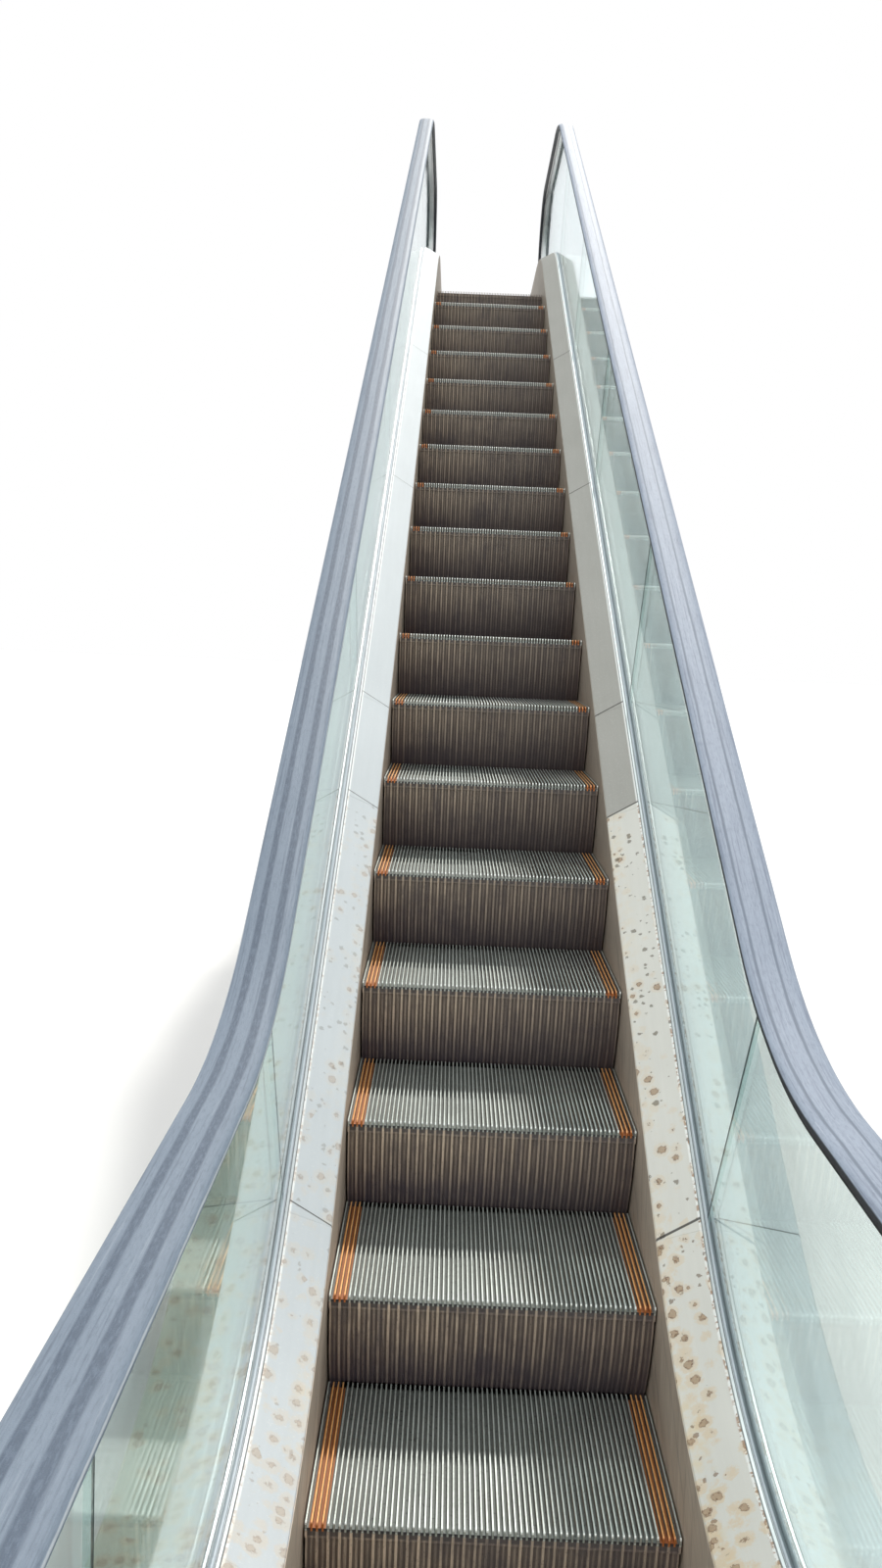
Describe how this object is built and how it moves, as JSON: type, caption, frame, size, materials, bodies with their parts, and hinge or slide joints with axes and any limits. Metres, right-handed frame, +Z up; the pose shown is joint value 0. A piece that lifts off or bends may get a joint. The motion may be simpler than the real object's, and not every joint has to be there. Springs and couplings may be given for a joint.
{
  "type": "escalator",
  "caption": "Inclined escalator for one person a step, with cleated steps, glass balustrades, rubber handrails and flat landings.",
  "frame": {"origin": "on the centreline, on the flat underside of the lower sole plate, at the corner where the climb meets the lower landing", "axes": "+Y from the lower landing to the upper one, +X to the right of a rider going up, +Z up"},
  "size_m": [1.14, 11.1954, 4.656],
  "materials": {
    "galvanised": "dull galvanised sheet",
    "frame_steel": "worn stainless steel",
    "floor_aluminium": "ribbed, trodden bright",
    "comb": "cast, scratched",
    "step_aluminium": "die cast, worn bright on the cleats and dirty in the grooves",
    "skirt_steel": "scuffed sheet steel",
    "deck_steel": "scratched, with rust spots",
    "channel_aluminium": "dull extrusion",
    "glass": "clear toughened",
    "guide_steel": "bright strip",
    "handrail_rubber": "weathered, with two worn bands",
    "cap_plastic": "moulded",
    "cladding_paint": "plain sheet",
    "truss_paint": "primer grey"
  },
  "bodies": {
    "root": {"sole_plate": "galvanised", "lower_floor_frame": "frame_steel", "lower_floor_plate": "floor_aluminium", "lower_comb_plate": "floor_aluminium", "lower_comb": "comb", "upper_floor_frame": "frame_steel", "upper_floor_plate": "floor_aluminium", "upper_comb_plate": "floor_aluminium", "upper_comb": "comb", "step_track_left": "truss_paint", "step_track_right": "truss_paint", "skirt_left": "skirt_steel", "skirt_right": "skirt_steel", "inner_deck_left": "deck_steel", "inner_deck_right": "deck_steel", "glass_channel_left": "channel_aluminium", "glass_channel_right": "channel_aluminium", "glass_left": "glass", "glass_right": "glass", "handrail_guide_left": "guide_steel", "handrail_guide_right": "guide_steel", "handrail_left": "handrail_rubber", "handrail_right": "handrail_rubber", "outer_deck_left": "deck_steel", "outer_deck_right": "deck_steel", "end_caps_lower": "cap_plastic", "end_caps_upper": "cap_plastic", "side_cladding_left": "cladding_paint", "side_cladding_right": "cladding_paint", "soffit": "cladding_paint", "truss_left": "truss_paint", "truss_right": "truss_paint", "cross_members": "truss_paint", "upper_end_plate": "truss_paint", "bearing_bracket": "truss_paint", "steps_01_to_03": "step_aluminium", "steps_04_to_06": "step_aluminium", "steps_07_to_09": "step_aluminium", "steps_10_to_12": "step_aluminium", "steps_13_to_15": "step_aluminium", "steps_16_to_18": "step_aluminium", "steps_19_to_21": "step_aluminium", "steps_22_to_24": "step_aluminium"}
  },
  "joints": []
}
